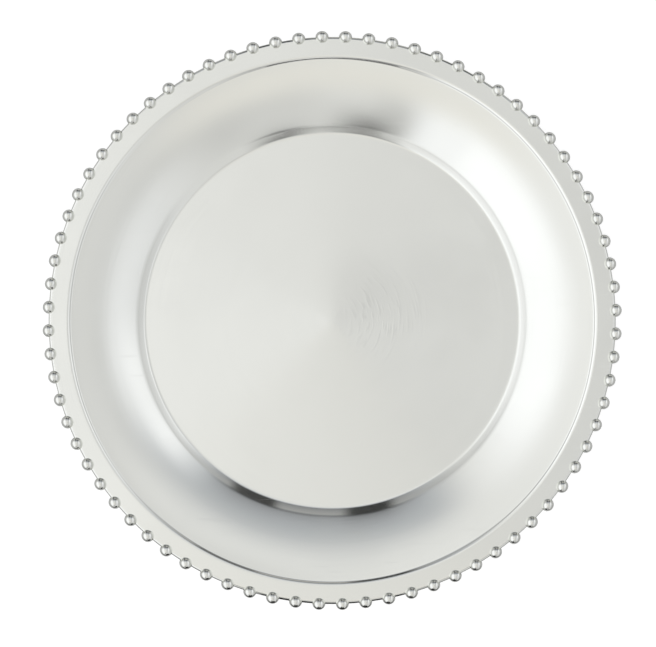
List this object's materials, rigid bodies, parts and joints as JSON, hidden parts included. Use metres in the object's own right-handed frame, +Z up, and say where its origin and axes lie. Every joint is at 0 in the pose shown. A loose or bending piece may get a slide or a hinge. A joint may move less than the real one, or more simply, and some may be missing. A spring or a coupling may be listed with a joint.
{
  "type": "beaded rim plate",
  "caption": "Round metal charger plate: a spun dish with a stepped well, a domed shoulder and a flat rim edged with a row of polished balls.",
  "frame": {"origin": "centre of the base, on the surface that the plate stands on", "axes": "+Z up along the plate's axis; +Y towards the top of the picture and +X towards its right"},
  "size_m": [0.3296, 0.3296, 0.0226],
  "materials": {
    "spun_metal": "plated sheet with fine concentric spinning lines, satin-bright",
    "polished_metal": "plated and mirror polished"
  },
  "bodies": {
    "root": {"dish": "spun_metal", "bead_strip_01": "polished_metal", "bead_strip_02": "polished_metal", "bead_strip_03": "polished_metal", "bead_strip_04": "polished_metal", "bead_strip_05": "polished_metal", "bead_strip_06": "polished_metal", "bead_strip_07": "polished_metal", "bead_strip_08": "polished_metal", "bead_strip_09": "polished_metal", "bead_strip_10": "polished_metal", "bead_strip_11": "polished_metal", "bead_strip_12": "polished_metal", "bead_strip_13": "polished_metal", "bead_strip_14": "polished_metal", "bead_strip_15": "polished_metal", "bead_strip_16": "polished_metal", "bead_strip_17": "polished_metal", "bead_strip_18": "polished_metal", "bead_strip_19": "polished_metal"}
  },
  "joints": []
}
